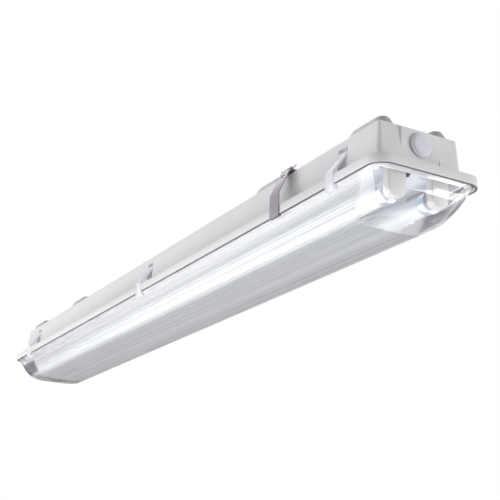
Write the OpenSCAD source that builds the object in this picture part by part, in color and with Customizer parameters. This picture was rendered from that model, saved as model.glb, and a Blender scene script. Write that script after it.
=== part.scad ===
// Vapour tight ceiling light for two 1200 mm tubes, in millimetres.
// X runs along the light and +Z points at the ceiling. The origin lies on the ceiling plane,
// in the middle of the four fixing holes. Heights named _up are measured from the flange's lip.

/* [Housing] */
// Height from the flange's lip to the roof
housing_h = 62.5; // [60:0.5:72]
// Wall thickness of the moulded housing
housing_wall = 2.5; // [2.2:0.1:3]
// Corner radius of the flange
flange_r = 22; // [20:1:26]
// Height of the skirt that hangs down round the flange
skirt_h = 11.5; // [10.5:0.5:12.5]
// Thickness of the skirt
skirt_t = 3; // [2.6:0.1:3.4]
// Thickness of the web between the body and the skirt
web_t = 3; // [2.4:0.1:3.4]
// How far the inner sealing rib reaches below the web
rib_drop = 5.5; // [4:0.5:6]
// Step from the flange's edge to the body's side wall
side_inset = 16.4; // [15.5:0.1:17.5]
// Step from the flange's edge to the body's end wall
end_inset = 19.6; // [18.5:0.1:20.5]
// Draft of the side walls from the web to the roof
side_draft = 3.2; // [2:0.1:4]
// Draft of the end walls from the web to the roof
end_draft = 5; // [3:0.1:6]
// Radius of the body's upright corners
corner_r = 7; // [6:0.5:9]
// Radius of the roof's edges
roof_edge_r = 3.4; // [3.2:0.1:4.5]

/* [Ceiling feet] */
// Height of the feet above the roof
foot_h = 11; // [10:0.1:12]
// Length of a foot
foot_l = 74; // [64:1:75]
// Width of a foot at the roof
foot_w = 30; // [26:0.5:30.5]
// How much a foot narrows on each side up to its flat
foot_flare = 7; // [5:0.5:8]
// Distance of the foot rows from the body's top edges
foot_side = 17.6; // [17:0.1:20]
// Distance of the end feet from the body's top ends
foot_end_in = 39.9; // [39.5:0.1:48]
// Distance from an end foot to the inner foot beside it, which takes a fixing screw
foot_step = 221; // [200:1:240]
// Radius of the fixing holes through the inner feet
fixing_r = 3.25; // [2.5:0.05:4]

/* [End panels] */
// Width of the upright panel in each end wall
panel_w = 54; // [46:1:60]
// How far the panel lies in from the body's end wall at the web
panel_in = 2.3; // [1.6:0.1:2.6]
// Thickness of the panel
panel_t = 2.5; // [2.2:0.1:2.6]
// Gap from the panel's top to the roof
panel_gap = 3; // [2.5:0.5:5]
// Radius of the conduit entry
entry_r = 11.1; // [10.2:0.1:11.6]
// Depth of the conduit entry's centre, as a share of the height from roof to tray
entry_share = 0.442; // [0.42:0.002:0.48]

/* [Conduit plug] */
// Radius of the plug's flange
plug_flange_r = 14.5; // [13.5:0.5:16]
// Radius of the plug's raised face
plug_face_r = 11.3; // [10:0.1:12]
// Thickness of the plug's flange
plug_flange_t = 1.4; // [1:0.1:2]
// Height of the plug's raised face above its flange
plug_rise = 2.8; // [2:0.1:4]
// Clearance of the plug's spigot in the entry
plug_clear = 0.2; // [0.1:0.05:0.3]
// Length of the spigot inside the wall
plug_tail = 6; // [5.5:0.5:8]
// Thickness of the sealing washer
seal_t = 1.1; // [0.8:0.1:1.5]
// Radius of the sealing washer
seal_r = 13.4; // [12.4:0.1:13.4]
// Radius over the corners of the lock nut
nut_r = 16; // [14:0.5:17]
// Thickness of the lock nut
nut_t = 4; // [3:0.5:5]

/* [Latches] */
// Distance of the outer latches from the flange's ends
latch_end_in = 94.5; // [80:0.5:120]
// Width of a latch
latch_w = 17; // [14:0.5:18]
// Clearance beside a latch in its pocket and notch
latch_side = 1; // [0.5:0.1:1.5]
// Depth of a latch pocket behind the body's wall at the web
pocket_depth = 8.6; // [8:0.1:9]
// Height of a latch pocket above the web
pocket_h = 40.5; // [38.5:0.5:41.5]
// Thickness of the pocket's cheeks
cheek_t = 4; // [3:0.5:6]
// Radius of a latch's hinge barrel
barrel_r = 3.4; // [3:0.1:3.5]
// Gap round the hinge barrel in its pocket
barrel_gap = 0.35; // [0.3:0.05:0.6]
// Depth of the hinge pin below the pocket's top
latch_pin_drop = 8.5; // [6:0.5:10]
// Radius of a hinge pin
latch_pin_r = 1.5; // [1.2:0.1:1.8]
// Running clearance on a hinge pin
pin_clear = 0.1; // [0.05:0.01:0.1]
// Thickness of a latch's arm
latch_t = 2.6; // [2:0.1:3]
// How far the arm's inner face stands out from the skirt's inner face
latch_out = 1.2; // [0.8:0.1:1.6]
// Height of the arm's knee above the web
knee_rise = 3.5; // [3:0.1:5]
// Depth of the latch's foot below the lip
latch_foot = 6.4; // [5.8:0.1:8]
// Gap between a latch's nose and the diffuser's bevel
nose_gap = 0.35; // [0.3:0.05:0.5]

/* [Diffuser] */
// Gap between the skirt and the diffuser's rim
rim_gap = 1.4; // [1.2:0.1:1.8]
// Wall thickness of the diffuser
lens_wall = 2.2; // [1.8:0.1:2.6]
// Depth of the diffuser below the lip
lens_depth = 43; // [41:0.5:48]
// Drop of the floor from its edges to its middle
lens_crown = 1.5; // [1:0.1:3]
// Half width of the floor, up to its rounded edges
floor_half = 39.2; // [37:0.1:42]
// Radius of the floor's edges
floor_edge_r = 12; // [9:0.5:14]
// Height of the bevel's top above the lip
bevel_top = 2; // [1.5:0.1:2.5]
// Inward run of the rim's bevel
bevel_run = 3.2; // [3:0.1:3.3]
// Height of the rim's bevel
bevel_rise = 4.8; // [4.7:0.1:5.2]
// Corner radius of the diffuser's floor
lens_floor_r = 22; // [18:0.5:28]
// How far the ends sweep in from the rim to the floor
lens_sweep = 50; // [40:1:60]
// Distance from the flange's end to the end of the prism ribs
rib_end_in = 116; // [110:1:160]
// Pitch of the prism ribs
rib_pitch = 4; // [3.6:0.1:6]
// Depth of the prism ribs
rib_depth = 0.7; // [0.4:0.1:0.9]

/* [Gasket] */
// Height of the gasket
gasket_h = 3; // [2:0.1:3.2]
// Width of the gasket
gasket_w = 6; // [5:0.5:7]
// Gap left for the gasket to spread
gasket_gap = 0.3; // [0.3:0.05:0.4]

/* [Tubes] */
// Length over a tube's end caps
lamp_l = 1199.4; // [1195:0.1:1202]
// Radius of a tube's glass
glass_r = 12.5; // [12:0.1:12.8]
// Thickness of the glass
glass_t = 0.9; // [0.7:0.1:1.5]
// Spacing of the two tubes
lamp_pitch = 60; // [58:1:64]
// Depth of the tubes' axis below the lip
lamp_drop = 14; // [12:0.5:16]
// Length of an end cap
cap_l = 13; // [10:0.5:18]
// Thickness of an end cap's metal
cap_t = 0.45; // [0.3:0.05:0.6]
// Spacing of the two pins in an end cap
pin_pitch = 12.7; // [12:0.1:13]
// Radius of an end cap's pin
lamp_pin_r = 1.18; // [1.1:0.01:1.25]
// Length of an end cap's pin
lamp_pin_l = 7.1; // [6.5:0.1:7.6]

/* [Lampholders] */
// Width of a lampholder
holder_w = 23.4; // [21:0.1:25]
// Thickness of a lampholder
holder_t = 11.5; // [11:0.1:12.5]
// Gap from a tube's cap to its lampholder
holder_gap = 5.3; // [4.8:0.1:5.6]
// Gap from a lampholder's back to the tray's end
holder_back_gap = 0.1; // [0:0.1:2]
// Space between a lampholder and the tray's side
holder_side_gap = 12.8; // [12:0.1:16]
// Bevel round the lampholder's outer face
holder_bevel = 1; // [0.6:0.1:1.5]
// Radius of the turning rotor
rotor_r = 8.6; // [8:0.1:9]
// Clearance round the rotor
rotor_clear = 0.2; // [0.15:0.05:0.3]
// Depth of the rotor's seat in the lampholder
rotor_seat = 7; // [6:0.1:8]
// Gap between the rotor and a tube's cap
rotor_gap = 0.6; // [0.4:0.1:1]
// Width of the rotor's pin slot
slot_w = 2.8; // [2.6:0.05:3]
// Height of the clip that holds a lampholder in the tray
holder_clip_h = 3; // [2:0.5:4]

/* [Gear tray] */
// Height of the tray's face above the lip
tray_up = 15; // [14.5:0.5:16]
// Thickness of the tray's sheet
tray_t = 1; // [0.8:0.1:1.2]
// Gap between the tray and the housing
tray_gap = 1.6; // [1.4:0.1:2.4]
// Gap between the tray's ends and the end panels
tray_end_gap = 0.5; // [0.4:0.1:1]
// Height of the tray's turned up edges
tray_edge_h = 9; // [6:0.5:12]
// Distance of the end screws from the lampholders
tray_screw_in = 12; // [11:0.5:16]
// Distance of the outer screws from the tray's sides
tray_screw_side = 5.5; // [5.3:0.1:6.5]
// Radius of the screw bosses under the roof
boss_r = 4.5; // [4:0.1:5]
// Radius of a tray screw's shank
screw_r = 1.9; // [1.6:0.1:2.2]
// Radius of a tray screw's head
screw_head_r = 4; // [3.4:0.1:4.6]
// Height of a tray screw's head
screw_head_h = 2.4; // [1.8:0.1:3]
// Length of a tray screw's shank above the tray
screw_l = 12; // [8:0.5:16]
// Clearance round a screw
screw_clear = 0.3; // [0.1:0.05:0.5]
// Clearance of a screw in its thread
thread_clear = 0.1; // [0.05:0.01:0.15]

/* [Ballast] */
// Length of the ballast's case
ballast_l = 240; // [200:1:300]
// Width of the ballast's case
ballast_w = 44; // [40:1:50]
// Height of the ballast's case
ballast_h = 30; // [24:0.5:34]
// Corner radius of the ballast's case
ballast_r = 4; // [2:0.5:6]
// Length of the fixing ears at the ballast's ends
ear_l = 14; // [12:0.5:18]
// Thickness of the fixing ears
ear_t = 1.5; // [1:0.1:2]

/* [Supply terminals] */
// Length of the terminal block
terminal_l = 32; // [26:1:40]
// Width of the terminal block
terminal_w = 20; // [16:1:24]
// Height of the terminal block
terminal_h = 16; // [12:0.5:20]
// Distance of the terminal block from the lampholders
terminal_in = 105; // [90:1:160]
// Distance of the terminal block from the centre line
terminal_y = 0; // [0:1:20]
// Radius of the wire entries
wire_entry_r = 1.8; // [1.4:0.1:2.4]

/* [Leads] */
// Diameter over a lead's insulation
lead_d = 2.2; // [1.8:0.1:2.4]

/* [Mounting bracket] */
// Distance of the bracket from the inner feet
bracket_step = 68; // [54:1:80]
// Width of the bracket and its arms
bracket_w = 22; // [18:0.5:26]
// Sheet thickness of the bracket
bracket_t = 1.6; // [1.2:0.1:1.8]
// Distance of the bracket's hinges beyond the body's top edge
hinge_out = 2.8; // [2.4:0.1:4]
// Height of the bracket's hinges above the roof
hinge_rise = 1.9; // [1.6:0.1:2.6]
// Outer radius of the hinge knuckles
knuckle_r = 2.6; // [2.3:0.1:2.8]
// Radius of the hinge wire
wire_r = 1.25; // [1:0.05:1.4]
// Length of the middle knuckle
knuckle_l = 10; // [8:0.5:12]
// Gap between knuckles
knuckle_gap = 0.4; // [0.3:0.05:0.6]
// Spacing of the two ceiling screws in the bracket
bracket_hole_pitch = 40; // [30:1:44]
// Radius of the bracket's screw holes
bracket_hole_r = 3.25; // [2.5:0.05:3.5]
// Length of the bracket's ends that lie over the roof
seat_l = 16; // [13:0.5:20]
// Run of the bracket's bends from its ends up to the ceiling
bend_run = 8; // [6:0.5:10]
// Gap between the bracket's ends and the roof
seat_gap = 0.3; // [0.3:0.05:0.5]

/* [Bracket arms] */
// Sheet thickness of an arm
arm_t = 1.2; // [1:0.1:1.5]
// Gap between an arm and the skirt
arm_gap = 0.4; // [0.3:0.05:0.6]
// Height of an arm's knee above the lip
arm_knee_up = 25; // [22:0.5:32]
// Gap between an arm's hook and the lip
hook_gap = 0.3; // [0.3:0.05:0.5]
// Fall of the hook's face towards its tip
hook_fall = 0.8; // [0.75:0.05:1]
// Length of the slot in an arm
arm_slot_l = 9; // [6:0.5:12]
// Width of the slot in an arm
arm_slot_w = 4.5; // [3:0.5:6]
// Distance of the slot below the hinge
arm_slot_drop = 9; // [7:0.5:12]
// Length of the bent tail on the hinge wire
tail_l = 9; // [6:0.5:12]
// Rise of the bent tail on the hinge wire
tail_rise = 1.1; // [0.5:0.1:1.2]

/* [Hidden] */
$fn = 48;
HULL_FN = 32;
// How far joined forms run into each other
bury = 0.5;
// How far cuts run past a face
over = 1;

// Flange, from the tubes outwards
flange_l = lamp_l + 2 * (holder_gap + holder_t + holder_back_gap + tray_end_gap + panel_t + panel_in
    + end_inset);
flange_w = lamp_pitch + holder_w + 2 * (holder_side_gap + tray_gap + housing_wall + side_inset);

// Levels
roof_z = -foot_h;
lip_z = roof_z - housing_h;
web_top = lip_z + skirt_h;
web_z = web_top - web_t;
tray_z = lip_z + tray_up;
tray_top = tray_z + tray_t;
gasket_z = web_z - gasket_h;
entry_z = roof_z - entry_share * (roof_z - tray_z);

// Body of the housing, below the flange
body_l = flange_l - 2 * end_inset;
body_w = flange_w - 2 * side_inset;
top_l = body_l - 2 * end_draft;
top_w = body_w - 2 * side_draft;
panel_x = body_l / 2 - panel_in;
// Height above the web up to which the panel lies behind the body's wall
panel_back_h = (roof_z - roof_edge_r - web_top) * panel_in / end_draft;
skirt_in = flange_w / 2 - skirt_t;
foot_y = top_w / 2 - foot_side;
foot_end_x = top_l / 2 - foot_end_in;
foot_mid_x = foot_end_x - foot_step;

// Latches
pocket_w = latch_w + 2 * latch_side;
pocket_y = body_w / 2 - pocket_depth;
latch_y = pocket_y + barrel_r + barrel_gap;
latch_z = web_top + pocket_h - latch_pin_drop;
latch_in = skirt_in + latch_out;
latch_pitch = flange_l / 2 - latch_end_in;
latch_places = [for (i = [-1:1]) i * latch_pitch];

// Diffuser: the rim, the bevel's foot and the floor's edge
rim_half_w = skirt_in - rim_gap;
rim_half_l = flange_l / 2 - skirt_t - rim_gap;
lens_r = flange_r - skirt_t - rim_gap;
rim_up = skirt_h - web_t - gasket_h - gasket_gap;
bevel_foot = [rim_half_w - bevel_run, bevel_top - bevel_rise];
edge_mid = [floor_half, lens_crown + floor_edge_r - lens_depth];
to_edge = edge_mid - bevel_foot;
wall_turn = atan2(to_edge[1], to_edge[0]) + asin(floor_edge_r / norm(to_edge));
edge_start = wall_turn + 90;
wall_end = edge_mid + floor_edge_r * [cos(edge_start), sin(edge_start)];
wall_run = norm(wall_end - bevel_foot);
edge_sweep = 90 + edge_start;
edge_run = floor_edge_r * edge_sweep * PI / 180;
skin_run = wall_run + edge_run + floor_half;
rib_count = round(skin_run / rib_pitch);
rib_x = flange_l / 2 - rib_end_in;
rib_fade_share = 1.5;
rib_fade = rib_pitch * rib_fade_share;
sweep_power = 2.6;
sweep_root = 1.6;
corner_steps = 5;
// How near the last ring and its corners come to the middle line
last_ring = 1.8;
ring_flat = 0.1;
inner_steps = 12;

// Tubes and lampholders
lamp_z = lip_z - lamp_drop;
cap_x = lamp_l / 2;
holder_x = cap_x + holder_gap;
cap_r = glass_r + cap_t;
terminal_x = holder_x - terminal_in;
mouth_share = 0.6;
clip_share = 0.7;
clip_t = holder_t / 2;
clip_w = holder_w * clip_share;

// Gear tray
tray_half_w = body_w / 2 - housing_wall - tray_gap;
tray_half_l = panel_x - panel_t - tray_end_gap;
pocket_back_y = pocket_y - housing_wall;
tray_screw_x = holder_x - tray_screw_in;
tray_screw_y = tray_half_w - tray_screw_side;
head_top_share = 0.7;
drive_share = 0.6;
drive_w_share = 0.22;
ear_share = 0.7;
ballast_screw_x = (ballast_l + ear_l) / 2;
terminal_ways = 3;

// Mounting bracket
bracket_x = foot_mid_x + bracket_step;
hinge_y = top_w / 2 + hinge_out;
hinge_z = roof_z + hinge_rise;
arm_in = flange_w / 2 + arm_gap;
arm_knee_z = lip_z + arm_knee_up;
arm_lean = atan2(arm_in - hinge_y, hinge_z - arm_knee_z);
tail_share = 0.9;

// One lead's way from the ballast to its lampholder, for the +X, +Y side of a tube. Each point is
// the distance from the lampholder's inner face, from the tube's axis and above the tray's face.
lead_way = [
    [-22, 13, 2.6], [-15, 13, 2.6], [-11, 13, 2.2], [-8.6, 13, 0.6], [-8, 12.8, -1.4],
    [-7.6, 11.6, -3.2], [-6.6, 9, -4.2], [-4.8, 6.4, -4.6], [-2.6, 4.6, -4.7], [-0.6, 4, -4.7]
];
lead_exit_y = 9;
// Where the leads pass the tray: distance from the lampholder and from the tube's axis.
lead_hole = [-9, 13];
// Gap between a lead's end and the ballast
lead_gap = 0.3;
// Shares of the run, and of the way sideways, where a lead bends over to its tube
lead_run_shares = [0.08, 0.2, 0.3, 0.36];
lead_side_shares = [0, 0.35, 0.8, 1];
// Direction that no lead runs along
lead_ref = [0.2, -0.6, 0.77];
lead_sides = 8;

// Rounded rectangle, centred.
module rounded_outline(l, w, r) {
    square([l - 2 * r, w], center = true);
    square([l, w - 2 * r], center = true);
    for (sx = [-1, 1], sy = [-1, 1]) translate([sx * (l / 2 - r), sy * (w / 2 - r)]) circle(r);
}

// Rounded frame with walls of thickness t.
module rounded_frame(l, w, r, t, h) {
    linear_extrude(h) difference() {
        rounded_outline(l, w, r);
        rounded_outline(l - 2 * t, w - 2 * t, r - t);
    }
}

// Repeats what follows at the four corners of a rectangle.
module four(x, y) {
    for (sx = [-1, 1], sy = [-1, 1]) translate([sx * x, sy * y, 0]) children();
}

// Extrudes a profile drawn in Y and Z along X, centred.
module along_x(l) {
    translate([-l / 2, 0, 0]) rotate([90, 0, 90]) linear_extrude(l) children();
}

// The body's form, offset inwards by t: straight through the web, then drafted to a rounded roof.
module body_form(t) {
    hull() {
        translate([0, 0, web_z]) four(body_l / 2 - corner_r, body_w / 2 - corner_r)
            cylinder(r = corner_r - t, h = web_t, $fn = HULL_FN);
        translate([0, 0, roof_z - roof_edge_r]) four(top_l / 2 - roof_edge_r, top_w / 2 - roof_edge_r)
            sphere(roof_edge_r - t, $fn = HULL_FN);
    }
}

// One raised foot with sloping sides and round ends.
module foot() {
    r = foot_w / 2;
    for (s = [-1, 1]) translate([s * (foot_l / 2 - r), 0, 0]) {
        cylinder(r1 = r, r2 = r - foot_flare, h = foot_h);
        translate([0, 0, -bury]) cylinder(r = r, h = bury);
    }
    along_x(foot_l - foot_w) polygon([
        [-r, -bury], [r, -bury], [r, 0], [r - foot_flare, foot_h], [foot_flare - r, foot_h], [-r, 0]
    ]);
}

// The upright panel in one end wall: it stands proud at the top and lies back at the bottom.
module end_panel() {
    translate([panel_x - panel_t, -panel_w / 2, web_z])
        cube([panel_t, panel_w, roof_z - panel_gap - web_z]);
    translate([panel_x - panel_t, -panel_w / 2 - housing_wall, web_z])
        cube([panel_t, panel_w + 2 * housing_wall, web_t + panel_back_h]);
}

// The space that the end wall's foot leaves in front of the panel.
module panel_recess() {
    translate([panel_x, -panel_w / 2, web_top])
        cube([end_inset, panel_w, roof_z - web_top + over]);
}

// Solid block behind one latch pocket.
module pocket_block() {
    w = pocket_w + 2 * cheek_t;
    translate([-w / 2, pocket_back_y, web_z])
        cube([w, body_w / 2 - side_draft - bury - pocket_back_y, web_t + pocket_h + housing_wall]);
}

// Pocket in the wall, notch in the skirt and hinge pin's bore for one latch.
module pocket_cut() {
    translate([-pocket_w / 2, pocket_y, web_top]) cube([pocket_w, pocket_depth + over, pocket_h]);
    translate([-pocket_w / 2, skirt_in, lip_z - over])
        cube([pocket_w, skirt_t + over, skirt_h + 2 * over]);
    translate([0, latch_y, latch_z]) rotate([0, 90, 0])
        cylinder(r = latch_pin_r, h = pocket_w + 2 * cheek_t - 2 * over, center = true);
}

// Repeats what follows at the six latches.
module at_latches() {
    for (x = latch_places, s = [0, 1]) mirror([0, s, 0]) translate([x, 0, 0]) children();
}

// Repeats what follows at the tray's screws, three at each end.
module at_tray_screws() {
    for (sx = [-1, 1], sy = [-1:1]) translate([sx * tray_screw_x, sy * tray_screw_y, 0]) children();
}

// Moulded housing: an open tray with its mouth down, its flange and everything moulded to it.
module housing() {
    color("gainsboro") difference() {
        union() {
            difference() {
                union() {
                    body_form(0);
                    translate([0, 0, web_z]) linear_extrude(web_t)
                        rounded_outline(flange_l, flange_w, flange_r);
                    translate([0, 0, roof_z]) {
                        four(foot_end_x, foot_y) foot();
                        four(foot_mid_x, foot_y) foot();
                    }
                }
                body_form(housing_wall);
                translate([0, 0, web_z - over])
                    linear_extrude(web_t)
                    rounded_outline(body_l - 2 * housing_wall, body_w - 2 * housing_wall,
                        corner_r - housing_wall);
            }
            translate([0, 0, lip_z])
                rounded_frame(flange_l, flange_w, flange_r, skirt_t, skirt_h - web_t);
            translate([0, 0, web_z - rib_drop])
                rounded_frame(body_l, body_w, corner_r, housing_wall, rib_drop);
            for (s = [0, 1]) mirror([s, 0, 0]) end_panel();
            at_latches() pocket_block();
            translate([0, 0, tray_top]) at_tray_screws()
                cylinder(r = boss_r, h = roof_z - housing_wall - tray_top + bury);
        }
        for (s = [0, 1]) mirror([s, 0, 0]) {
            panel_recess();
            translate([panel_x - panel_t, 0, entry_z]) rotate([0, -90, 0])
                cylinder(r = nut_r + over, h = end_draft + housing_wall);
            translate([panel_x - panel_t - over, 0, entry_z]) rotate([0, 90, 0])
                cylinder(r = entry_r, h = panel_t + 2 * over);
        }
        at_latches() pocket_cut();
        translate([0, 0, roof_z - housing_wall - over]) four(foot_mid_x, foot_y)
            cylinder(r = fixing_r, h = housing_wall + foot_h + 2 * over);
        translate([0, 0, tray_top - over]) at_tray_screws() cylinder(r = screw_r, h = screw_l + 2 * over);
    }
}

// Seal that lies under the web, over the diffuser's rim.
module gasket() {
    color("dimgray") translate([0, 0, gasket_z]) rounded_frame(
        flange_l - 2 * skirt_t - 2 * gasket_gap, flange_w - 2 * skirt_t - 2 * gasket_gap,
        flange_r - skirt_t - gasket_gap, gasket_w, gasket_h);
}

// Point of the diffuser's outer skin at run s from the bevel's foot: straight wall, round edge, floor.
function skin(s) =
    s < wall_run ? bevel_foot + (wall_end - bevel_foot) * s / wall_run
    : s < wall_run + edge_run ? edge_mid + floor_edge_r * skin_out(s)
    : let(y = wall_run + edge_run + floor_half - s)
        [y, lens_crown * pow(y / floor_half, 2) - lens_depth];

// Outward direction of the skin at run s.
function skin_out(s) =
    let(a = edge_start - edge_sweep * max(0, min(1, (s - wall_run) / edge_run)))
    [cos(a), sin(a)];

// Half length of the diffuser at height up, and its corner radius there.
function depth_share(up) = max(0, min(1, (bevel_foot[1] - up) / (bevel_foot[1] + lens_depth)));
function sweep_in(up) = lens_sweep * (1 - pow(1 - pow(depth_share(up), sweep_power), 1 / sweep_root));
function half_l_at(up) = rim_half_l - bevel_run - sweep_in(up);
function corner_at(up) = lens_r + (lens_floor_r - lens_r) * depth_share(up);

// One closed ring of the diffuser: half width, half length, corner radius and height, with the
// stretch between the rib ends moved in by [across, up].
function ring(v, u, r, up, dent) =
    let(q = min(r, v - ring_flat), z = lip_z + up)
    [
        for (k = [0:corner_steps]) let(a = 90 * k / corner_steps)
            [u - q + q * cos(a), v - q + q * sin(a), z],
        for (x = [rib_x, rib_x - rib_fade, rib_fade - rib_x, -rib_x]) let(d = abs(x) < rib_x ? 1 : 0)
            [x, v + d * dent[0], z + d * dent[1]],
        for (k = [0:corner_steps]) let(a = 90 + 90 * k / corner_steps)
            [-u + q + q * cos(a), v - q + q * sin(a), z],
        for (k = [0:corner_steps]) let(a = 180 + 90 * k / corner_steps)
            [-u + q + q * cos(a), -v + q + q * sin(a), z],
        for (x = [-rib_x, rib_fade - rib_x, rib_x - rib_fade, rib_x]) let(d = abs(x) < rib_x ? 1 : 0)
            [x, -v - d * dent[0], z + d * dent[1]],
        for (k = [0:corner_steps]) let(a = 270 + 90 * k / corner_steps)
            [u - q + q * cos(a), -v + q + q * sin(a), z]
    ];

// Ring of the outer skin at run s. Every second ring lies in a valley between two ribs.
function outer_ring(s, valley) =
    let(p = skin(s), n = skin_out(s), d = valley ? rib_depth : 0)
    ring(p[0], half_l_at(p[1]), corner_at(p[1]), p[1], [-n[0] * d, -n[1] * d]);

// Ring of the smooth inner skin at run s.
function inner_ring(s) =
    let(p = skin(s), n = skin_out(s), q = p - lens_wall * n)
    ring(q[0], half_l_at(p[1]) - lens_wall, corner_at(p[1]) - lens_wall / 2, q[1], [0, 0]);

// Closed solid from a stack of rings with the same number of points.
module loft(rings) {
    n = len(rings[0]);
    m = len(rings);
    polyhedron(
        points = [for (r = rings, p = r) p],
        faces = concat(
            [[for (k = [0:n - 1]) k]],
            [for (i = [0:m - 2], k = [0:n - 1]) let(a = i * n, b = a + n, j = (k + 1) % n)
                [a + k, b + k, b + j]],
            [for (i = [0:m - 2], k = [0:n - 1]) let(a = i * n, b = a + n, j = (k + 1) % n)
                [a + k, b + j, a + j]],
            [[for (k = [n - 1:-1:0]) (m - 1) * n + k]]
        ),
        convexity = 6
    );
}

// Clear diffuser: a lofted tray with linear prism ribs and smooth swept ends.
module diffuser() {
    last = skin_run - last_ring;
    color("aliceblue", 0.5) loft(concat(
        [for (i = [2 * rib_count:-1:0]) outer_ring(min(last, skin_run * i / rib_count / 2), i % 2 == 1)],
        [ring(rim_half_w, rim_half_l, lens_r, bevel_top, [0, 0])],
        [ring(rim_half_w, rim_half_l, lens_r, rim_up, [0, 0])],
        [ring(rim_half_w - lens_wall, rim_half_l - lens_wall, lens_r - lens_wall, rim_up, [0, 0])],
        [ring(rim_half_w - lens_wall, rim_half_l - lens_wall, lens_r - lens_wall, bevel_top, [0, 0])],
        [for (i = [0:inner_steps]) inner_ring(min(last - lens_wall, skin_run * i / inner_steps))]
    ));
}

// Side view of a latch in Y and Z, on the +Y side: arm, knee, foot and nose.
module latch_profile() {
    knee_z = web_top + knee_rise;
    lean = atan2(latch_in + latch_t / 2 - latch_y, latch_z - knee_z);
    face = [bevel_run, bevel_rise] / norm([bevel_run, bevel_rise]);
    nose_top = [rim_half_w, lip_z + bevel_top] + nose_gap * [face[1], -face[0]];
    tip = nose_top - face * norm([bevel_run, bevel_rise]);
    slope = bevel_rise / bevel_run;
    polygon([
        [latch_y - cos(lean) * latch_t / 2, latch_z - sin(lean) * latch_t / 2],
        [latch_in, knee_z],
        [latch_in, nose_top[1] + (latch_in - nose_top[0]) * slope],
        tip,
        [tip[0] + latch_t / 2, lip_z - latch_foot],
        [latch_in + latch_t / 2, lip_z - latch_foot],
        [latch_in + latch_t, lip_z - latch_foot + latch_t / 2],
        [latch_in + latch_t, knee_z + latch_t * tan(lean / 2)],
        [latch_y + cos(lean) * latch_t / 2, latch_z + sin(lean) * latch_t / 2]
    ]);
    translate([latch_y, latch_z]) circle(barrel_r);
}

// One moulded latch, closed. side is -1 at the front and 1 at the rear.
module latch(side, x) {
    color("ghostwhite") mirror([0, side < 0 ? 1 : 0, 0]) translate([x, 0, 0]) difference() {
        along_x(latch_w) latch_profile();
        translate([0, latch_y, latch_z]) rotate([0, 90, 0])
            cylinder(r = latch_pin_r + pin_clear, h = latch_w + 2 * over, center = true);
    }
}

// Steel hinge pins of the six latches.
module latch_pins() {
    color("silver") at_latches() translate([0, latch_y, latch_z]) rotate([0, 90, 0])
        cylinder(r = latch_pin_r, h = pocket_w + 2 * cheek_t - 2 * over - bury, center = true);
}

// Side view of the bracket in Y and Z, on the +Y side: ceiling flat, bend and end over the roof.
module bracket_profile() {
    low = roof_z + seat_gap;
    end_y = hinge_y - seat_l;
    flat_y = end_y - bend_run;
    thick = bracket_t * tan(atan2(-low - bracket_t, bend_run) / 2);
    polygon([
        [-over, 0], [flat_y, 0], [end_y, low + bracket_t], [hinge_y, low + bracket_t],
        [hinge_y, low], [end_y - thick, low], [flat_y - thick, -bracket_t], [-over, -bracket_t]
    ]);
}

// Steel bracket across the roof, with screw holes and hinge knuckles at both ends.
module mounting_bracket() {
    outer_l = (bracket_w - knuckle_l) / 2 - knuckle_gap;
    color("darkgray") translate([bracket_x, 0, 0]) difference() {
        for (s = [0, 1]) mirror([0, s, 0]) {
            along_x(bracket_w) bracket_profile();
            for (sx = [-1, 1])
                translate([sx * (bracket_w - outer_l) / 2, hinge_y, hinge_z])
                rotate([0, 90, 0]) cylinder(r = knuckle_r, h = outer_l, center = true);
        }
        for (sy = [-1, 1]) {
            translate([0, sy * bracket_hole_pitch / 2, -bracket_t - over])
                cylinder(r = bracket_hole_r, h = bracket_t + 2 * over);
            translate([0, sy * hinge_y, hinge_z]) {
                rotate([0, 90, 0])
                    cylinder(r = wire_r + pin_clear, h = bracket_w + 2 * over, center = true);
                cube([knuckle_l + 2 * knuckle_gap, 2 * (knuckle_r + knuckle_gap),
                    2 * (knuckle_r + over)], center = true);
            }
        }
    }
}

// Side view of a bracket arm in Y and Z below its knuckle, on the +Y side.
module arm_profile(start) {
    out = [cos(arm_lean), sin(arm_lean)];
    down = [sin(arm_lean), -cos(arm_lean)];
    top = [hinge_y, hinge_z] + down * start;
    knee = arm_knee_z + (knuckle_r - arm_t) / sin(arm_lean);
    polygon([
        top + out * (knuckle_r - arm_t),
        [arm_in, knee],
        [arm_in, lip_z - hook_gap],
        [arm_in - skirt_t, lip_z - hook_gap - hook_fall],
        [arm_in - skirt_t, lip_z - hook_gap - hook_fall - arm_t],
        [arm_in + arm_t, lip_z - hook_gap - hook_fall - arm_t],
        [arm_in + arm_t, knee + arm_t * tan(arm_lean / 2)],
        top + out * knuckle_r
    ]);
}

// Spring arm that swings from the bracket and hooks under the housing's lip.
module bracket_arm(side) {
    color("gray") translate([bracket_x, 0, 0]) mirror([0, side < 0 ? 1 : 0, 0]) difference() {
        union() {
            along_x(bracket_w) arm_profile(knuckle_r + knuckle_gap);
            intersection() {
                along_x(knuckle_l) arm_profile(0);
                translate([-bracket_w / 2, hinge_y - knuckle_r, hinge_z - 2 * knuckle_r - over])
                    cube([bracket_w, 3 * knuckle_r, 2 * knuckle_r + over]);
            }
            translate([0, hinge_y, hinge_z]) rotate([0, 90, 0])
                cylinder(r = knuckle_r, h = knuckle_l, center = true);
        }
        translate([0, hinge_y, hinge_z]) rotate([0, 90, 0])
            cylinder(r = wire_r + pin_clear, h = bracket_w, center = true);
        translate([0, hinge_y, hinge_z]) rotate([arm_lean, 0, 0])
            translate([-arm_slot_l / 2, 0, -arm_slot_drop - arm_slot_w])
            cube([arm_slot_l, 2 * knuckle_r, arm_slot_w]);
    }
}

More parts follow.
